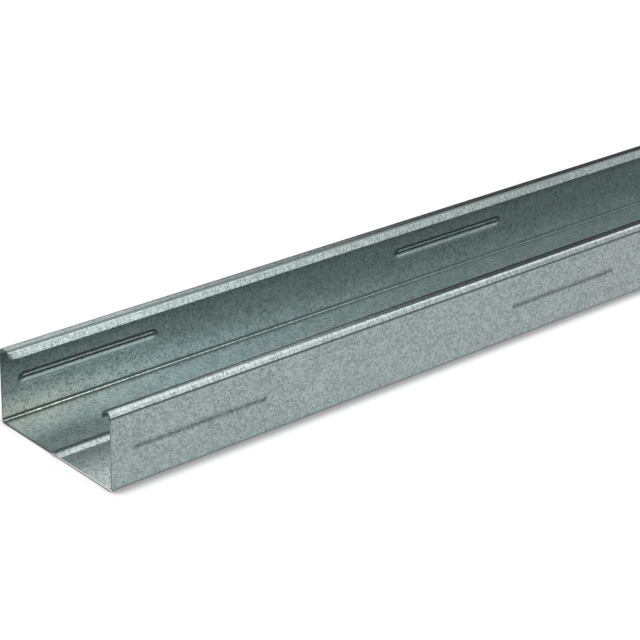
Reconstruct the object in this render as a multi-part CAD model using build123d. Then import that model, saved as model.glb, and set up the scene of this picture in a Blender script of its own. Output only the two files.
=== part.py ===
from build123d import *
from math import floor, radians, tan
import os

# Ceiling channel: a roll-formed steel C-section with a flat web, a rib along the middle
# of the web, two flanges with rows of pressed dashes, and inward lips.
#
# Millimetres. The web lies on the floor with the open side up. X runs along the channel,
# Y across it and Z up. The origin is on the web's underside, at mid-width and mid-length.

# The channel
LENGTH = 3000.0             # stock length
WIDTH = 60.0                # across the flanges' outer faces
HEIGHT = 27.0               # from the web's underside to the top of the lips
SHEET = 0.6                 # thickness of the steel
BEND_RADIUS = 0.5           # inside every bend

# The rib along the middle of the web, pressed up into the channel
RIB_FOOT_WIDTH = 5.2
RIB_TOP_WIDTH = 0.8
RIB_HEIGHT = 0.6

# The lip on each flange: a rising leg, a level crown and a return leg
RISE_RUN = 0.8              # how far in the rising leg goes
RISE = 1.6                  # and how far up
CROWN_WIDTH = 3.5
RETURN_RUN = 1.15           # how far in the return leg goes
RETURN_DROP = 2.5           # and how far down

# The dashes: ridges on the inside of each flange, grooves on the outside
DASH_LENGTH = 56.0
DASH_WIDTH = 3.8
DASH_DEPTH = 0.5
DASH_WALL_ANGLE = 66.0      # slope of the pressed walls, from square to the flange
DASH_PITCH = 167.0
DASH_START = 6.5            # from the -X end to the first dash
DASH_CIRCLE_SIDES = 12      # of the circle that the two ends of a dash would make

HALF_SHEET = SHEET / 2
FLANGE_FACE = WIDTH / 2     # outer face of the flange
DASH_HEIGHT = HEIGHT / 2    # centre line of the dashes, at half the flange's height

# A groove is smaller than its ridge, so that the pressed walls stay one sheet thick.
GROOVE_INSET = SHEET * tan(radians(DASH_WALL_ANGLE / 2))


def half_middle_line():
    """Corners of the line through the middle of the sheet, from the rib to the lip's edge."""
    web = HALF_SHEET
    flange = FLANGE_FACE - HALF_SHEET
    crown = HEIGHT - HALF_SHEET
    crown_outer = flange - RISE_RUN
    crown_inner = crown_outer - CROWN_WIDTH
    return [
        (RIB_TOP_WIDTH / 2, web + RIB_HEIGHT),
        (RIB_FOOT_WIDTH / 2, web),
        (flange, web),
        (flange, crown - RISE),
        (crown_outer, crown),
        (crown_inner, crown),
        (crown_inner - RETURN_RUN, crown - RETURN_DROP),
    ]


def rolled_strip():
    """The bent sheet at its full length, before the dashes are pressed."""
    right = half_middle_line()
    left = [(-y, z) for y, z in reversed(right)]
    with BuildPart() as strip:
        with BuildSketch(Plane.YZ):
            with BuildLine() as middle:
                FilletPolyline(*left, *right, radius=BEND_RADIUS + HALF_SHEET)
            trace(middle.line, line_width=SHEET)
        extrude(amount=LENGTH / 2, both=True)
    return strip.part


def pressed_slot(face_y, inset):
    """A dash-shaped block with sloping walls, standing DASH_DEPTH in from the +Y flange.

    Its base lies in the plane y = face_y and is smaller than the dash by inset all round.
    """
    base = Plane(origin=(0, face_y, DASH_HEIGHT), x_dir=(1, 0, 0), z_dir=(0, -1, 0))
    with BuildPart() as slot:
        with BuildSketch(base):
            with GridLocations(DASH_LENGTH - DASH_WIDTH, 0, 2, 1):
                RegularPolygon(DASH_WIDTH / 2 - inset, DASH_CIRCLE_SIDES)
            make_hull()
        extrude(amount=DASH_DEPTH, taper=DASH_WALL_ANGLE)
    return slot.part


def along_both_flanges(slot):
    """Copies of a +Y slot at every dash of both flanges."""
    room = LENGTH - DASH_START - DASH_LENGTH
    first = -LENGTH / 2 + DASH_START + DASH_LENGTH / 2
    stations = [first + n * DASH_PITCH for n in range(floor(room / DASH_PITCH) + 1)]
    row = [Pos(x, 0, 0) * slot for x in stations]
    return row + [mirror(copy, Plane.XZ) for copy in row]


def channel():
    ridges = along_both_flanges(pressed_slot(FLANGE_FACE - SHEET, 0))
    grooves = along_both_flanges(pressed_slot(FLANGE_FACE, GROOVE_INSET))
    return (rolled_strip() + ridges) - grooves


os.makedirs("parts", exist_ok=True)
part = channel()
export_step(part, "parts/channel.step")
print("volume", round(part.volume), "mm3, solids", len(part.solids()))
print("box", part.bounding_box())
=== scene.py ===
"""Ceiling channel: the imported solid's sheet, modelled again with round bends and pressed
dashes, in galvanised steel, on a pale studio floor."""
import math

import bmesh
import bpy
from mathutils import Matrix, Vector


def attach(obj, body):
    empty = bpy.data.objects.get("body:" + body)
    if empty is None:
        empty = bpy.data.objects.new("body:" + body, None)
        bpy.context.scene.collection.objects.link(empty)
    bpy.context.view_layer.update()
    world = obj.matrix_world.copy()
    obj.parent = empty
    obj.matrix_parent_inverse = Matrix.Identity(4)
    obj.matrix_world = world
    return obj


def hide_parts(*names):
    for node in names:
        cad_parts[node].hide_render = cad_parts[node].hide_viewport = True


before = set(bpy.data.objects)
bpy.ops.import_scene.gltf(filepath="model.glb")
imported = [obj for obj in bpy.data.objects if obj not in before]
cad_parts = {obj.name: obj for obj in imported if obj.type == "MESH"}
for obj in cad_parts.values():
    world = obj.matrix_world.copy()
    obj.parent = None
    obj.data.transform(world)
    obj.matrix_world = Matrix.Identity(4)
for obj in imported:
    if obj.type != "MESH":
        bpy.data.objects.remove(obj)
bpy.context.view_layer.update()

# The channel, in metres
LENGTH = 3.0
WIDTH = 0.060
HEIGHT = 0.027
SHEET = 0.0006
BEND_RADIUS = 0.0008        # to the middle of the sheet
BEND_STEPS = 8              # in a right angle
FLANGE_MIDDLE = WIDTH / 2 - SHEET / 2
FLANGE_FLAT = (0.001, 0.0256)   # the heights between which the flange is flat

RIB_FOOT_WIDTH = 0.0052
RIB_TOP_WIDTH = 0.0008
RIB_HEIGHT = 0.0006

RISE_RUN = 0.0008
RISE = 0.0016
CROWN_WIDTH = 0.0035
RETURN_RUN = 0.00115
RETURN_DROP = 0.0025

DASH_LENGTH = 0.056
DASH_WIDTH = 0.0042
DASH_PITCH = 0.167
DASH_START = 0.0065
DASH_HEIGHT = HEIGHT / 2
DASH_DEPTH = 0.0004
DASH_WALL = 0.00205         # mean width of the rounded wall, from the outline to the floor
DASH_LEAN = 0.00045         # the floor lies this much above the middle of the outline
DASH_RINGS = 8              # in that wall
DASH_CIRCLE_SIDES = 32
DASH_BORDER = 0.002         # flat frame round a dash

# The cut end at -X, whose lips are bent: columns of vertices from the cut, how far the +Y lip's
# corner and the -Y lip are moved at the cut (across and up), and how far along that fades out
NEAR_END = -LENGTH / 2
CUT_COLUMNS = (0.0008, 0.0016, 0.0026, 0.0038, 0.0052, 0.009, 0.015, 0.024, 0.036,
               0.050, 0.068, 0.086, 0.104, 0.122, 0.140)
CORNER_BEND = (0.0007, 0.0005)
CORNER_REACH = 0.0032
LIP_PUSH = (-0.0011, -0.0002)
LIP_REACH = 0.140
CROWN_ROOM = 0.001          # how much of the crown goes with the -Y lip

SAME = 1e-6                 # places nearer than this count as one
ALIKE = 1e-5                # and this, after the mirror and the cuts
SMOOTH_ANGLE = math.radians(30)


def only(obj):
    """Makes obj the one selected and active object."""
    bpy.ops.object.select_all(action="DESELECT")
    obj.select_set(True)
    bpy.context.view_layer.objects.active = obj


def pick(obj, kind, test):
    """In edit mode, selects just the vertices, edges or faces whose corners all pass the test."""
    bpy.ops.mesh.select_mode(type=kind)
    bpy.ops.mesh.select_all(action="DESELECT")
    mesh = bmesh.from_edit_mesh(obj.data)
    if kind == "VERT":
        chosen = [v for v in mesh.verts if test(v.co)]
    else:
        parts = mesh.edges if kind == "EDGE" else mesh.faces
        chosen = [p for p in parts if all(test(v.co) for v in p.verts)]
    for part in chosen:
        part.select_set(True)
    mesh.select_flush_mode()
    bmesh.update_edit_mesh(obj.data)


def cut(obj, test, place, normal):
    """Bisects the faces that pass the test."""
    pick(obj, "FACE", test)
    bpy.ops.mesh.bisect(plane_co=place, plane_no=normal)


def section_corners():
    """The middle of the sheet from the rib's crest to the free edge of the +Y lip."""
    web = SHEET / 2
    crown = HEIGHT - SHEET / 2
    crown_outer = FLANGE_MIDDLE - RISE_RUN
    crown_inner = crown_outer - CROWN_WIDTH
    return [
        (0.0, web + RIB_HEIGHT),
        (RIB_TOP_WIDTH / 2, web + RIB_HEIGHT),
        (RIB_FOOT_WIDTH / 2, web),
        (FLANGE_MIDDLE, web),
        (FLANGE_MIDDLE, crown - RISE),
        (crown_outer, crown),
        (crown_inner, crown),
        (crown_inner - RETURN_RUN, crown - RETURN_DROP),
    ]


def near(co, y, z, room=SAME):
    return abs(co.y - y) < room and abs(co.z - z) < room


def fold_half(length):
    """The +Y half of the section, folded up from a strip of that length."""
    corners = section_corners()
    (y0, z0), (y1, z1) = corners[:2]
    place = (NEAR_END + length / 2, (y0 + y1) / 2, z0)
    bpy.ops.object.select_all(action="DESELECT")
    bpy.ops.mesh.primitive_plane_add(size=1, location=(0, 0, 0))
    half = bpy.context.active_object
    bpy.ops.object.mode_set(mode="EDIT")
    bpy.ops.transform.resize(value=(length, y1 - y0, 1))
    bpy.ops.transform.translate(value=place)
    pick(half, "EDGE", lambda co: near(co, y1, z1))
    for (ya, za), (yb, zb) in zip(corners[1:], corners[2:]):
        bpy.ops.mesh.extrude_edges_move(TRANSFORM_OT_translate={"value": (0, yb - ya, zb - za)})
    for before, corner, after in zip(corners[:-2], corners[1:-1], corners[2:]):
        turn = abs(
            math.atan2(after[1] - corner[1], after[0] - corner[0])
            - math.atan2(corner[1] - before[1], corner[0] - before[0])
        )
        turn = min(turn, 2 * math.pi - turn)
        pick(half, "EDGE", lambda co: near(co, *corner))
        bpy.ops.mesh.bevel(
            offset_type="OFFSET",
            offset=BEND_RADIUS * math.tan(turn / 2),
            segments=max(2, round(BEND_STEPS * turn / (math.pi / 2))),
            profile=0.5,
            affect="EDGES",
            clamp_overlap=False,
        )
    return half


def press_dash(half):
    """Presses one dash into the flange of a folded strip."""
    left = NEAR_END + DASH_START
    right = left + DASH_LENGTH
    reach = DASH_WIDTH / 2
    low = DASH_HEIGHT - reach - DASH_BORDER
    high = DASH_HEIGHT + reach + DASH_BORDER

    def on_flange(co):
        return abs(co.y - FLANGE_MIDDLE) < SAME and FLANGE_FLAT[0] < co.z < FLANGE_FLAT[1]

    def on_panel(co):
        inside = left - DASH_BORDER - SAME < co.x < right + DASH_BORDER + SAME
        return on_flange(co) and inside

    def on_frame(co):
        return on_panel(co) and low - SAME < co.z < high + SAME

    cut(half, on_flange, (left - DASH_BORDER, 0, 0), (1, 0, 0))
    cut(half, on_flange, (right + DASH_BORDER, 0, 0), (1, 0, 0))
    cut(half, on_panel, (0, 0, low), (0, 0, 1))
    cut(half, on_panel, (0, 0, high), (0, 0, 1))
    pick(half, "FACE", on_frame)
    bpy.ops.mesh.delete(type="ONLY_FACE")

    # the outline: a circle, whose right half then moves to the other end of the dash
    middle = Vector((left + reach, FLANGE_MIDDLE, DASH_HEIGHT))
    bpy.ops.mesh.primitive_circle_add(
        vertices=DASH_CIRCLE_SIDES,
        radius=reach,
        fill_type="NOTHING",
        location=middle,
        rotation=(math.pi / 2, math.pi / DASH_CIRCLE_SIDES, 0),
    )

    def on_right_half(co):
        return on_frame(co) and (middle - co).length < reach * 1.01 and co.x > middle.x

    pick(half, "VERT", on_right_half)
    bpy.ops.transform.translate(value=(DASH_LENGTH - DASH_WIDTH, 0, 0))
    pick(half, "EDGE", on_frame)
    bpy.ops.mesh.fill(use_beauty=True)

    def in_outline(co):
        along = left - SAME < co.x < right + SAME
        return on_frame(co) and along and abs(co.z - DASH_HEIGHT) < reach + SAME

    pick(half, "EDGE", in_outline)
    bpy.ops.mesh.edge_face_add()
    depths = [
        DASH_DEPTH / 2 * (1 - math.cos(math.pi * n / DASH_RINGS)) for n in range(DASH_RINGS + 1)
    ]
    for above, below in zip(depths, depths[1:]):
        bpy.ops.mesh.inset(thickness=DASH_WALL / DASH_RINGS, depth=0)
        bpy.ops.transform.translate(value=(0, above - below, DASH_LEAN / DASH_RINGS))


def bend_cut_end(half):
    """Bends what the cut left bent: the +Y lip's free corner, and more gently the -Y lip."""
    (crown_inner, _), (edge_y, edge_z) = section_corners()[-2:]
    for column in (0.0, *CUT_COLUMNS):
        x = NEAR_END + column

        def on_free_edge(co):
            return abs(co.x - x) < SAME and near(co, edge_y, edge_z, ALIKE)

        def on_near_lip(co):
            across = -crown_inner - CROWN_ROOM < co.y < -edge_y + ALIKE
            return abs(co.x - x) < SAME and across and co.z > edge_z - ALIKE

        corner_share = max(0, 1 - column / CORNER_REACH) ** 2
        lip_share = max(0, 1 - (column / LIP_REACH) ** 2) ** 2
        for test, (over, rise), share in (
            (on_free_edge, CORNER_BEND, corner_share),
            (on_near_lip, LIP_PUSH, lip_share),
        ):
            pick(half, "VERT", test)
            bpy.ops.transform.translate(value=(0, over * share, rise * share))


def finish_by(obj, kind, **settings):
    """Adds a modifier with these settings and applies it."""
    modifier = obj.modifiers.new(kind.lower(), kind)
    for name, value in settings.items():
        setattr(modifier, name, value)
    bpy.ops.object.modifier_apply(modifier=modifier.name)


def make_channel():
    half = fold_half(DASH_PITCH)
    press_dash(half)
    bpy.ops.object.mode_set(mode="OBJECT")
    only(half)
    finish_by(half, "MIRROR", use_axis=(False, True, False), merge_threshold=SAME)
    finish_by(
        half,
        "ARRAY",
        count=math.ceil(LENGTH / DASH_PITCH),
        use_relative_offset=False,
        use_constant_offset=True,
        constant_offset_displace=(DASH_PITCH, 0, 0),
        use_merge_vertices=True,
        merge_threshold=SAME,
    )
    bpy.ops.object.mode_set(mode="EDIT")
    bpy.ops.mesh.select_all(action="SELECT")
    bpy.ops.mesh.bisect(plane_co=(LENGTH / 2, 0, 0), plane_no=(1, 0, 0), clear_outer=True)
    for column in CUT_COLUMNS:
        bpy.ops.mesh.select_all(action="SELECT")
        bpy.ops.mesh.bisect(plane_co=(NEAR_END + column, 0, 0), plane_no=(1, 0, 0))
    bpy.ops.mesh.select_all(action="SELECT")
    bpy.ops.mesh.remove_doubles(threshold=SAME)
    bend_cut_end(half)
    bpy.ops.mesh.select_all(action="SELECT")
    bpy.ops.mesh.normals_make_consistent(inside=False)
    bpy.ops.object.mode_set(mode="OBJECT")
    finish_by(
        half,
        "SOLIDIFY",
        thickness=SHEET,
        offset=0,
        use_even_offset=True,
        use_quality_normals=True,
    )

    # thickened, the bent lips reach past the cut by some hundredths of a millimetre
    bpy.ops.object.mode_set(mode="EDIT")
    pick(half, "VERT", lambda co: co.x < NEAR_END + CUT_COLUMNS[0] / 2)
    bpy.ops.transform.resize(value=(0, 1, 1), center_override=(NEAR_END, 0, 0))
    bpy.ops.object.mode_set(mode="OBJECT")
    bpy.ops.object.shade_smooth_by_angle(angle=SMOOTH_ANGLE)
    finish_by(half, "WEIGHTED_NORMAL", keep_sharp=True)
    half.name = "channel_sheet"
    half.data.name = "channel_sheet"
    return half


class Wiring:
    """Puts nodes into a tree, row by row, and links them. A value is a socket or a constant."""

    NODES_IN_ROW = 10
    FIRST_PLACE = (-2800, 0)
    SPACING = (260, 300)

    def __init__(self, tree):
        self.tree = tree
        self.count = 0

    def feed(self, socket, value):
        if isinstance(value, bpy.types.NodeSocket):
            self.tree.links.new(value, socket)
        else:
            socket.default_value = value

    def node(self, kind, inputs=None, **settings):
        """A node with its settings, and with its inputs by name or number."""
        made = self.tree.nodes.new(kind)
        row, column = divmod(self.count, self.NODES_IN_ROW)
        made.location = (
            self.FIRST_PLACE[0] + self.SPACING[0] * column,
            self.FIRST_PLACE[1] - self.SPACING[1] * row,
        )
        self.count += 1
        for name, value in settings.items():
            setattr(made, name, value)
        for name, value in (inputs or {}).items():
            self.feed(made.inputs[name], value)
        return made

    def maths(self, operation, *values, **settings):
        made = self.node(
            "ShaderNodeMath", dict(enumerate(values)), operation=operation, **settings
        )
        return made.outputs[0]

    def times(self, *values):
        """The product of the values."""
        result = values[0]
        for value in values[1:]:
            result = self.maths("MULTIPLY", result, value)
        return result

    def largest(self, *values):
        result = values[0]
        for value in values[1:]:
            result = self.maths("MAXIMUM", result, value)
        return result

    def opposite(self, mask):
        return self.maths("SUBTRACT", 1.0, mask)

    def vector(self, operation, *values):
        """The result of a Vector Math node, a number for LENGTH and DISTANCE."""
        made = self.node("ShaderNodeVectorMath", dict(enumerate(values)), operation=operation)
        return made.outputs["Value" if operation in ("LENGTH", "DISTANCE") else "Vector"]

    def ramp(self, value, start, end):
        """Rises smoothly from 0 at start to 1 at end; start may be above end."""
        rising = start < end
        made = self.node(
            "ShaderNodeMapRange",
            {
                "Value": value,
                "From Min": min(start, end),
                "From Max": max(start, end),
                "To Min": 0.0 if rising else 1.0,
                "To Max": 1.0 if rising else 0.0,
            },
            interpolation_type="SMOOTHSTEP",
        )
        return made.outputs[0]

    def band(self, value, middle, core, edge):
        """1 where the value is within core of the middle, 0 where it is edge away or more."""
        away = self.maths("ABSOLUTE", self.maths("SUBTRACT", value, middle))
        return self.ramp(away, edge, core)

    def noise(self, place, **inputs):
        """A noise texture, its inputs named in lower case."""
        sockets = {name.capitalize(): value for name, value in inputs.items()}
        return self.node("ShaderNodeTexNoise", {"Vector": place, **sockets})

    def blend(self, factor, below, above, how="MIX"):
        """A colour mix of a socket or a colour with another."""
        below, above = ((*v, 1) if isinstance(v, tuple) else v for v in (below, above))
        made = self.node(
            "ShaderNodeMix", {0: factor, 6: below, 7: above}, data_type="RGBA", blend_type=how
        )
        return made.outputs[2]


def new_group(name, inputs, outputs):
    """A node group's tree, its wiring, the sockets that come in and those that go out."""
    tree = bpy.data.node_groups.new(name, "ShaderNodeTree")
    for title, kind, value in inputs:
        socket = tree.interface.new_socket(name=title, in_out="INPUT", socket_type=kind)
        socket.default_value = value
    for title in outputs:
        tree.interface.new_socket(name=title, in_out="OUTPUT", socket_type="NodeSocketFloat")
    wires = Wiring(tree)
    return tree, wires, wires.node("NodeGroupInput").outputs, wires.node("NodeGroupOutput").inputs


# The zinc's grain
GRAINS_PER_METRE = 1100.0
SPECKS_PER_METRE = 760.0
WARP_SCALE = 700.0
WARP = 0.0009               # how far grains are pulled out of shape
GRAIN_SHARE = 0.2           # of the grains in the tone; the fine noise has the rest
SPECK_RADIUS = (0.32, 0.12)     # in parts of the distance between specks
SPECK_CHANCE = (0.35, 0.9)


def zinc_grain():
    """Fine zinc grains: a tone for each grain, dark specks, and a height for the bump."""
    tree, wires, start, end = new_group(
        "zinc_grain",
        [
            ("Position", "NodeSocketVector", (0, 0, 0)),
            ("Grains per metre", "NodeSocketFloat", GRAINS_PER_METRE),
            ("Specks per metre", "NodeSocketFloat", SPECKS_PER_METRE),
        ],
        ["Tone", "Specks", "Height"],
    )
    warp = wires.noise(start["Position"], scale=WARP_SCALE, detail=2.0).outputs["Color"]
    place = wires.vector("MULTIPLY_ADD", warp, (WARP, WARP, WARP), start["Position"])
    grain = wires.node(
        "ShaderNodeTexVoronoi",
        {"Vector": place, "Scale": start["Grains per metre"], "Smoothness": 0.15},
        feature="SMOOTH_F1",
    )
    fine_scale = wires.times(start["Grains per metre"], 2.0)
    fine = wires.noise(place, scale=fine_scale, detail=1.5, roughness=0.6).outputs["Fac"]
    dots = wires.node(
        "ShaderNodeTexVoronoi",
        {"Vector": place, "Scale": start["Specks per metre"]},
        feature="F1",
    )
    shade = wires.node("ShaderNodeSeparateColor", {0: grain.outputs["Color"]}).outputs[0]
    chance = wires.node("ShaderNodeSeparateColor", {0: dots.outputs["Color"]}).outputs[0]
    coarse = wires.times(shade, GRAIN_SHARE)
    tone = wires.maths("MULTIPLY_ADD", fine, 1 - GRAIN_SHARE, coarse)
    dot = wires.ramp(dots.outputs["Distance"], *SPECK_RADIUS)
    wires.feed(end["Tone"], tone)
    wires.feed(end["Specks"], wires.times(dot, wires.ramp(chance, *SPECK_CHANCE)))
    wires.feed(end["Height"], tone)
    return tree


# Masks on the sheet: the measure that each one follows, where it is 0 and where it is 1. "side"
# is Y, "across" is Y without its sign, "up" is Z and "from end" is the distance to the near cut.
REGIONS = {
    "near half": ("side", 0.004, -0.004),
    "far half": ("side", 0.0, 0.001),
    "far wall": ("side", 0.0280, 0.0290),
    "in from the outer face": ("across", 0.02955, 0.02945),
    "above the underside": ("up", 0.0004, 0.0006),
    "below the lips": ("up", 0.0240, 0.0236),
    "lip height": ("up", 0.0236, 0.0242),
    "in from the flange": ("across", 0.0280, 0.0268),
    "beside the cut": ("from end", 0.016, 0.004),
    "above the dashes": ("up", 0.0135, 0.0175),
    "away from the cut": ("from end", 0.08, 0.26),
    "stain along": ("from end", 0.075, 0.01),
    "stain up": ("up", 0.0105, 0.003),
    "web": ("up", 0.0020, 0.0010),
    "crown": ("up", 0.0255, 0.0262),
    "dull along": ("from end", 0.065, 0.0),
    "rolled lips": ("up", 0.0236, 0.0252),
    "rolled foot": ("up", 0.0100, 0.0020),
    "above the rim": ("up", 0.00022, 0.00032),
    "cut web": ("up", 0.0012, 0.0006),
    "cut flange": ("across", 0.0282, 0.0288),
    "cut below the lips": ("up", 0.0240, 0.0230),
    "upper half of a dash": ("up", DASH_HEIGHT - 0.0004, DASH_HEIGHT + 0.0004),
    "lower half of a dash": ("up", DASH_HEIGHT + 0.0003, DASH_HEIGHT - 0.0003),
}

# Painted shade where the bends, the creases, the flanges' feet and the hollow under the lips get
# less light: across and up from the middle of the underside, how far the mark is full, where it
# ends, and which of the patterns in the function that paints this shade it follows.
BEND_SHADE_MARKS = (
    (0.0294, 0.00142, 0.00033, 0.00068, "fading"),
    (0.0284, 0.0006, 0.00005, 0.00032, "fading"),
    (0.02915, 0.00085, 0.0002, 0.00055, "growing"),
    (0.0300, 0.0249, 0.0001, 0.0005, "even"),
    (0.0255, 0.0270, 0.0004, 0.0008, "even"),
    (0.0259, 0.0270, 0.0004, 0.0007, "near half"),
    (0.0287, 0.0270, 0.0004, 0.0008, "far half"),
    (0.0301, 0.0002, 0.0006, 0.0010, "even"),
    (0.0290, 0.0009, 0.0004, 0.0007, "at the cut"),
    (0.0266, 0.0252, 0.0015, 0.0018, "even"),
)
FADING = (0.03, 0.22, 0.3)      # from the near cut: full until here, faintest from here on, at this
FAR_HALF_STRENGTH = 0.65
CUT_STRENGTH = 0.6

# Painted shade round a dash: dark lines where its feet and walls get less light. How far from its
# middle line, how far to each side the mark is full, where it ends, its strength, and where it
# shows
DASH_SHADE_MARKS = (
    (0.0022, 0.00022, 0.0005, 1.0, "upper inside"),
    (0.0009, 0.0001, 0.00035, 1.0, "upper inside"),
    (0.00155, 0.0002, 0.0004, 0.45, "upper inside"),
    (0.0015, 0.0002, 0.0006, 0.4, "lower inside"),
    (0.0012, 0.0003, 0.0008, 0.12, "lower outside"),
    (0.0, 0.0003, 0.0009, 0.2, "outside"),
)
# Painted highlight: a bright line on the lower inside wall of each dash, where it faces the light
DASH_HIGHLIGHT_LINE = (0.0003, 0.0002, 0.0006)    # a bright line, in the same measures
DASH_HIGHLIGHT_STRENGTH = 0.45

SCRATCH_SCALE = 1300.0
SCRATCH_STRETCH = 0.02          # along the channel
SCRATCH_LEVEL = (0.66, 0.76)    # of the noise
TICK_SCALE = 2100.0
TICK_STRETCH = 0.2              # across the channel
TICKS_AMOUNT = 0.35
FOOT_TICKS = 0.7                # of those on the lips
DULL_CROWN = 0.5                # of the web's dullness
DULL_NEAR_HALF = 0.5            # of the far half's
CUT_DEPTH = (0.00002, 0.00001)  # how deep the cut face's colour goes
FLANGE_RIM = 0.17               # of the bright rim's tone on the cut face of the near flange


def lip_shift(wires, across, up, from_end, region):
    """The place in the section, slid back where the -Y lip is pushed over at the cut."""
    reached = wires.maths("POWER", wires.maths("DIVIDE", from_end, LIP_REACH), 2.0)
    kept = wires.largest(wires.maths("SUBTRACT", 1.0, reached), 0.0)
    share = wires.maths("POWER", kept, 2.0)
    inner_edge = wires.times(region["lip height"], region["in from the flange"])
    pushed = wires.times(share, inner_edge, region["near half"])
    section = wires.node("ShaderNodeCombineXYZ", {"Y": across, "Z": up}).outputs[0]
    return wires.vector("MULTIPLY_ADD", pushed, (0, LIP_PUSH[0], -LIP_PUSH[1]), section)


def painted_bend_shade(wires, section, from_end, region):
    """Painted shade where the bends and creases get less light."""
    full, faintest, least = FADING
    fading = wires.node(
        "ShaderNodeMapRange",
        {"Value": from_end, "From Min": full, "From Max": faintest, "To Min": 1.0, "To Max": least},
    ).outputs[0]
    patterns = {
        "fading": fading,
        "growing": wires.opposite(fading),
        "near half": region["near half"],
        "far half": wires.times(region["far half"], FAR_HALF_STRENGTH),
        "at the cut": wires.times(region["beside the cut"], CUT_STRENGTH),
    }
    marks = []
    for y, z, core, edge, pattern in BEND_SHADE_MARKS:
        mark = wires.ramp(wires.vector("DISTANCE", section, (0, y, z)), edge, core)
        marks.append(wires.times(mark, patterns[pattern]) if pattern in patterns else mark)
    return wires.largest(*marks)


def dash_distance(wires, along, up):
    """The distance to the line along the middle of the nearest dash."""
    first = NEAR_END + DASH_START + DASH_LENGTH / 2
    pitches_back = 30       # far enough for MODULO to get only positive numbers
    shifted = wires.maths("SUBTRACT", along, first - DASH_PITCH / 2 - pitches_back * DASH_PITCH)
    wrapped = wires.maths("MODULO", shifted, DASH_PITCH)
    offset = wires.maths("ABSOLUTE", wires.maths("SUBTRACT", wrapped, DASH_PITCH / 2))
    past = wires.maths("SUBTRACT", offset, (DASH_LENGTH - DASH_WIDTH) / 2)
    above = wires.maths("SUBTRACT", up, DASH_HEIGHT)
    beside = wires.node("ShaderNodeCombineXYZ", {"X": wires.largest(past, 0.0), "Y": above})
    return wires.vector("LENGTH", beside.outputs[0])


def marks_and_painted_light():
    """Masks on the channel: the marks that the bending rolls and the saw leave, and painted shade
    and highlights at the bends, round the dashes and on the cut face.
    """
    tree, wires, start, end = new_group(
        "marks_and_painted_light",
        [
            ("Position", "NodeSocketVector", (0, 0, 0)),
            ("Half length", "NodeSocketFloat", LENGTH / 2),
        ],
        [
            "Painted crease shade",
            "Roller ticks",
            "Ticks amount",
            "Inside",
            "End stain",
            "Scratches",
            "Warmer",
            "Dull end",
            "Dash highlight",
            "Cut face",
            "Bright rim",
        ],
    )
    axes = wires.node("ShaderNodeSeparateXYZ", {0: start["Position"]}).outputs
    measures = {
        "side": axes["Y"],
        "across": wires.maths("ABSOLUTE", axes["Y"]),
        "up": axes["Z"],
        "from end": wires.maths("SUBTRACT", axes["X"], NEAR_END),
    }
    across, up, from_end = (measures[name] for name in ("across", "up", "from end"))
    region = {
        name: wires.ramp(measures[measure], zero, one)
        for name, (measure, zero, one) in REGIONS.items()
    }
    inside = wires.times(
        region["in from the outer face"],
        region["above the underside"],
        region["below the lips"],
    )
    outside = wires.opposite(inside)

    section = lip_shift(wires, across, up, from_end, region)
    # painted shade in the bends and creases
    lines = [painted_bend_shade(wires, section, from_end, region)]
    radius = dash_distance(wires, axes["X"], up)
    lower_inside = wires.times(region["lower half of a dash"], inside)
    places = {
        "upper inside": wires.times(region["upper half of a dash"], inside),
        "lower inside": lower_inside,
        "lower outside": wires.times(region["lower half of a dash"], outside),
        "outside": outside,
    }
    # painted shade: dark lines round each dash
    for middle, core, edge, strength, place in DASH_SHADE_MARKS:
        line = wires.band(radius, middle, core, edge)
        lines.append(wires.times(line, strength, places[place]))
    # painted highlight on the lower inside wall of each dash
    dash_highlight = wires.times(wires.band(radius, *DASH_HIGHLIGHT_LINE), lower_inside, DASH_HIGHLIGHT_STRENGTH)

    drawn = wires.vector("MULTIPLY", start["Position"], (SCRATCH_STRETCH, 1, 1))
    scratches = wires.noise(drawn, scale=SCRATCH_SCALE, detail=0.0).outputs["Fac"]
    thin = wires.ramp(scratches, *SCRATCH_LEVEL)
    squeezed = wires.vector("MULTIPLY", start["Position"], (1, TICK_STRETCH, TICK_STRETCH))
    ticks = wires.noise(squeezed, scale=TICK_SCALE, detail=1.0).outputs["Fac"]
    ticked = wires.largest(region["rolled lips"], wires.times(region["rolled foot"], FOOT_TICKS))

    stained = wires.times(region["stain along"], region["stain up"])
    on_far_wall = wires.times(inside, region["far wall"])
    on_web = wires.times(inside, region["web"])
    on_crown = wires.times(region["crown"], DULL_CROWN)
    milder = wires.opposite(wires.times(region["near half"], 1 - DULL_NEAR_HALF))
    dull = wires.times(wires.largest(on_web, on_crown), milder, region["dull along"])

    beyond = wires.maths("SUBTRACT", wires.maths("ABSOLUTE", axes["X"]), start["Half length"])
    # the bright rim on the cut face, near half only: partly the burnished zone of the cut, partly a
    # painted highlight
    web_rim = wires.times(region["above the rim"], region["cut web"])
    flange_rim = wires.times(region["cut flange"], region["cut below the lips"], FLANGE_RIM)
    rim = wires.times(wires.largest(web_rim, flange_rim), region["near half"])

    for name, value in {
        # painted shade in the bends and round the dashes
        "Painted crease shade": wires.largest(*lines),
        "Roller ticks": ticks,
        "Ticks amount": wires.times(ticked, TICKS_AMOUNT),
        "Inside": inside,
        "End stain": wires.times(stained, on_far_wall),
        "Scratches": wires.times(thin, region["above the dashes"], outside),
        "Warmer": wires.times(region["away from the cut"], outside),
        "Dull end": dull,
        # painted highlight along each dash
        "Dash highlight": dash_highlight,
        "Cut face": wires.ramp(beyond, *(-depth for depth in CUT_DEPTH)),
        "Bright rim": rim,
    }.items():
        wires.feed(end[name], value)
    return tree


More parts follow.
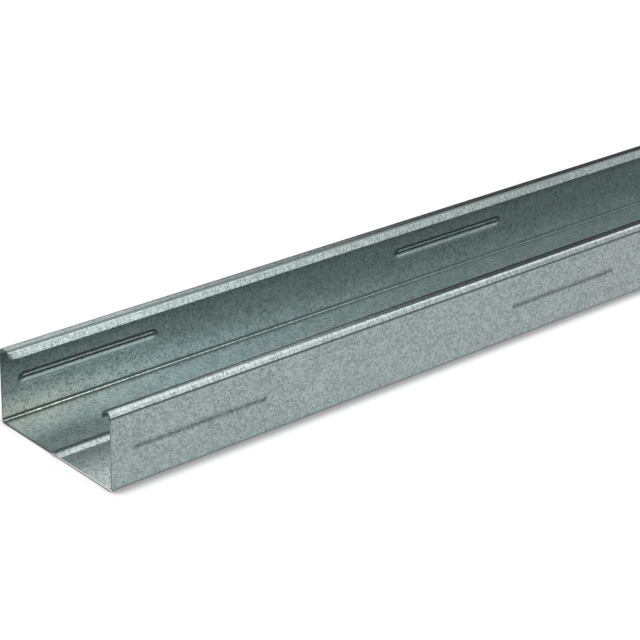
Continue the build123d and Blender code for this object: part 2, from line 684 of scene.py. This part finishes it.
# The steel's colours. Those for the warmer and the dull end multiply what is below them.
DARK_GRAIN = (0.225, 0.270, 0.268)
LIGHT_GRAIN = (0.385, 0.455, 0.450)
GRAIN_LEVELS = (0.36, 0.64)     # of the tone, for these two
WARMER = (1.0, 0.955, 0.955)
DULL_END = (0.78, 0.75, 0.74)
SPECK = (0.11, 0.14, 0.14)
STAIN = (0.58, 0.59, 0.52)
SCRATCH = (0.18, 0.21, 0.21)
# the colour of the painted highlight along each dash
DASH_HIGHLIGHT = (0.69, 0.71, 0.70)
# the colour of the painted shade in the bends and round the dashes
PAINTED_CREASE_SHADE = (0.11, 0.135, 0.135)
# The cut face is dark: partly the dull sheared steel, partly painted shadow in the gap under the
# cut edge. Its bright rim, on the near half only, is partly the burnished zone and partly a painted
# highlight.
CUT_FACE = (0.06, 0.07, 0.07)
BRIGHT_RIM = (0.75, 0.79, 0.78)

CLOUD_SCALE = 90.0
CLOUD_SHARE = 0.12
# Inside the channel the grain is stronger and the tone lighter; the lighter tone is painted light,
# standing in for the light the inner faces get.
CONTRAST = (1.45, 0.9)          # of the tone outside, and how much more inside
MIDDLE_TONE = (0.5, 0.08)       # likewise
STAIN_BLOTCHES = (0.25, 0.85)   # levels of the tone between which the stain comes in
SCRATCH_STRENGTH = 0.35
ROUGHNESS = (0.30, 0.21)        # for the darkest and the lightest tone
BUMP = {"Strength": 0.6, "Distance": 0.00006}


def galvanised_steel():
    material = bpy.data.materials.new("galvanised_steel")
    material.use_nodes = True
    wires = Wiring(material.node_tree)
    where = wires.node("ShaderNodeTexCoord").outputs["Object"]
    grains = wires.node("ShaderNodeGroup", node_tree=zinc_grain())
    marks = wires.node("ShaderNodeGroup", node_tree=marks_and_painted_light())
    for group in (grains, marks):
        wires.feed(group.inputs["Position"], where)
    grains, marks = grains.outputs, marks.outputs

    clouds = wires.noise(where, scale=CLOUD_SCALE, detail=3.0).outputs["Fac"]
    tone = grains["Tone"]
    for share, other in ((CLOUD_SHARE, clouds), (marks["Ticks amount"], marks["Roller ticks"])):
        mix = {"Factor": share, "A": tone, "B": other}
        tone = wires.node("ShaderNodeMix", mix, data_type="FLOAT").outputs[0]
    # painted light: the inside of the channel made lighter than the outside
    gain = wires.maths("MULTIPLY_ADD", marks["Inside"], CONTRAST[1], CONTRAST[0])
    lighter = wires.maths("MULTIPLY_ADD", marks["Inside"], MIDDLE_TONE[1], MIDDLE_TONE[0])
    centred = wires.maths("SUBTRACT", tone, 0.5)
    stronger = wires.maths("MULTIPLY_ADD", centred, gain, lighter)

    zinc = wires.node("ShaderNodeValToRGB", {"Fac": stronger})
    colours = (DARK_GRAIN, LIGHT_GRAIN)
    for stop, level, colour in zip(zinc.color_ramp.elements, GRAIN_LEVELS, colours):
        stop.position = level
        stop.color = (*colour, 1)
    blotches = wires.times(marks["End stain"], wires.ramp(stronger, *STAIN_BLOTCHES))
    base = zinc.outputs["Color"]
    for mask, colour, how in (
        (marks["Warmer"], WARMER, "MULTIPLY"),
        (marks["Dull end"], DULL_END, "MULTIPLY"),
        (grains["Specks"], SPECK, "MIX"),
        (blotches, STAIN, "MIX"),
        (wires.times(marks["Scratches"], SCRATCH_STRENGTH), SCRATCH, "MIX"),
        # painted highlight along each dash
        (marks["Dash highlight"], DASH_HIGHLIGHT, "MIX"),
        # painted shade in the bends and round the dashes
        (marks["Painted crease shade"], PAINTED_CREASE_SHADE, "MIX"),
        # dark cut face, partly painted shadow, with its bright rim, partly a painted highlight
        (marks["Cut face"], wires.blend(marks["Bright rim"], CUT_FACE, BRIGHT_RIM), "MIX"),
    ):
        base = wires.blend(mask, base, colour, how)

    roughness = wires.node(
        "ShaderNodeMapRange", {"Value": tone, "To Min": ROUGHNESS[0], "To Max": ROUGHNESS[1]}
    )
    bump = wires.node("ShaderNodeBump", {**BUMP, "Height": grains["Height"]})
    shader = material.node_tree.nodes["Principled BSDF"]
    shader.inputs["Metallic"].default_value = 1.0
    wires.feed(shader.inputs["Base Color"], base)
    wires.feed(shader.inputs["Roughness"], roughness.outputs[0])
    wires.feed(shader.inputs["Normal"], bump.outputs["Normal"])
    return material


def matt(name, grey):
    """A material with no shine, and its shader's inputs."""
    material = bpy.data.materials.new(name)
    material.use_nodes = True
    inputs = material.node_tree.nodes["Principled BSDF"].inputs
    inputs["Base Color"].default_value = (grey, grey, grey, 1)
    inputs["Roughness"].default_value = 1.0
    inputs["Specular IOR Level"].default_value = 0.0
    return material, inputs


FLOOR_SIZE = 24
FLOOR_HEIGHT = -0.00002     # just under the channel
FLOOR_GREY = 0.25
SHADOW_GREY = 0.2           # where the channel stands on it
FLOOR_GLOW = 0.84
SHADOW_GLOW = 0.32          # of that
SHADOW_REACH = 0.0069
SHADOW_LEVELS = (0.50, 0.93)    # of the occlusion, for the deepest shadow and for none


def lay_floor():
    """A white floor with a soft shadow where the channel stands on it."""
    bpy.ops.object.select_all(action="DESELECT")
    bpy.ops.mesh.primitive_plane_add(size=FLOOR_SIZE, location=(0, 0, FLOOR_HEIGHT))
    floor = bpy.context.active_object
    floor.name = "floor"
    material, inputs = matt("white_floor", FLOOR_GREY)
    wires = Wiring(material.node_tree)
    ray = wires.node("ShaderNodeLightPath").outputs
    nearby = wires.node("ShaderNodeAmbientOcclusion", {"Distance": SHADOW_REACH}, samples=16)
    clear = wires.ramp(nearby.outputs["AO"], *SHADOW_LEVELS)
    shadow = wires.maths("MULTIPLY_ADD", clear, 1 - SHADOW_GLOW, SHADOW_GLOW)
    direct = wires.times(ray["Is Camera Ray"], shadow)
    bounced = wires.maths("ADD", ray["Is Glossy Ray"], ray["Is Transmission Ray"])
    seen = wires.maths("ADD", direct, bounced)
    greys = ((grey, grey, grey) for grey in (SHADOW_GREY, FLOOR_GREY))
    inputs["Emission Color"].default_value = (1, 1, 1, 1)
    wires.feed(inputs["Emission Strength"], wires.times(seen, FLOOR_GLOW))
    wires.feed(inputs["Base Color"], wires.blend(clear, *greys))
    floor.data.materials.append(material)


FLAG_GREY = 0.03

# Dark cards, each with two opposite corners
FLAGS = (
    ("front_flag", (-5, -1.2, 0), (5, -1.2, 0.19)),
    ("table_flag", (-5, -1.2, 0.0005), (5, -0.12, 0.0005)),
    ("back_flag", (0.45, 2, 0), (8, 2, 2.1)),
    ("low_flag", (-4, 2, 0), (0.45, 2, 1.0)),
)


def hang_flag(name, low, high):
    """A dark card for the metal to mirror, which neither the camera nor the lamps see."""
    bpy.ops.object.select_all(action="DESELECT")
    bpy.ops.mesh.primitive_plane_add(size=2, location=(0, 0, 0))
    flag = bpy.context.active_object
    flag.name = name
    corners = [(x, y, z) for y, z in (low[1:], high[1:]) for x in (low[0], high[0])]
    for vertex, place in zip(flag.data.vertices, corners):
        vertex.co = place
    flag.data.materials.append(matt(name, FLAG_GREY)[0])
    flag.visible_camera = False
    flag.visible_diffuse = False
    flag.visible_shadow = False
    flag.visible_transmission = False


# Soft lamps: place, what each faces, width and height, and radiance
LAMPS = (
    ("low_window", (-0.78, -2.0, 0.79), (-0.78, 0, 0.79), (2.25, 0.72), 0.65),
    ("window", (-0.81, -2.0, 1.775), (-0.81, 0, 1.775), (2.2, 1.25), 3.6),
    ("overhead", (-0.2, -0.1, 1.6), (-0.2, -0.1, 0), (2.8, 2.4), 1.0),
    ("back_window", (-1.6, 2.0, 1.37), (-1.6, 0, 1.37), (3.3, 0.7), 1.15),
)


def hang_lamp(name, place, target, size, radiance):
    data = bpy.data.lights.new(name, "AREA")
    data.shape = "RECTANGLE"
    data.size, data.size_y = size
    data.energy = radiance * math.pi * size[0] * size[1]
    lamp = bpy.data.objects.new(name, data)
    bpy.context.scene.collection.objects.link(lamp)
    lamp.location = place
    ahead = Vector(target) - Vector(place)
    lamp.rotation_euler = ahead.to_track_quat("-Z", "Y").to_euler()
    lamp.visible_camera = False


FILL_LIGHT = 0.2


def light_world():
    """White where the camera and the metal look past everything, and a softer fill light."""
    world = bpy.data.worlds.new("studio")
    bpy.context.scene.world = world
    world.use_nodes = True
    wires = Wiring(world.node_tree)
    ray = wires.node("ShaderNodeLightPath").outputs
    both = wires.maths("ADD", ray["Is Camera Ray"], ray["Is Glossy Ray"])
    seen = wires.maths("ADD", both, ray["Is Transmission Ray"], use_clamp=True)
    levels = {"Value": seen, "To Min": FILL_LIGHT, "To Max": 1.0}
    level = wires.node("ShaderNodeMapRange", levels).outputs[0]
    background = world.node_tree.nodes["Background"]
    background.inputs["Color"].default_value = (1, 1, 1, 1)
    wires.feed(background.inputs["Strength"], level)


# The camera, fitted to the photograph
AZIMUTH, ELEVATION, ROLL = math.radians(41.98), math.radians(24.52), math.radians(1.37)
CORNER_IN_VIEW = (-0.0632, -0.0526, 0.6199)     # right, up and ahead: the near corner at the floor
FOCAL_PIXELS = 2038.0
PICTURE_PIXELS = 640
SENSOR_WIDTH = 36
CLIP_START = 0.01


def aim_camera():
    """The photograph's view, from the near end on the -Y side."""
    ahead = Vector((
        math.sin(AZIMUTH) * math.cos(ELEVATION),
        math.cos(AZIMUTH) * math.cos(ELEVATION),
        -math.sin(ELEVATION),
    ))
    level = Vector((math.cos(AZIMUTH), -math.sin(AZIMUTH), 0))
    up = level.cross(ahead)
    right = level * math.cos(ROLL) + up * math.sin(ROLL)
    top = up * math.cos(ROLL) - level * math.sin(ROLL)
    turn = Matrix((right, top, -ahead)).transposed()
    place = -(right * CORNER_IN_VIEW[0] + top * CORNER_IN_VIEW[1] + ahead * CORNER_IN_VIEW[2])
    corner = Vector((NEAR_END, -WIDTH / 2, 0))
    data = bpy.data.cameras.new("camera")
    data.sensor_width = SENSOR_WIDTH
    data.lens = FOCAL_PIXELS / PICTURE_PIXELS * SENSOR_WIDTH
    data.clip_start = CLIP_START
    camera = bpy.data.objects.new("camera", data)
    camera.matrix_world = Matrix.Translation(place + corner) @ turn.to_4x4()
    bpy.context.scene.collection.objects.link(camera)
    bpy.context.scene.camera = camera


channel = make_channel()
channel.data.materials.append(galvanised_steel())
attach(channel, "root")
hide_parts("channel")

lay_floor()
light_world()
for flag in FLAGS:
    hang_flag(*flag)
for lamp in LAMPS:
    hang_lamp(*lamp)
aim_camera()

view = bpy.context.scene.view_settings
view.view_transform = "Standard"
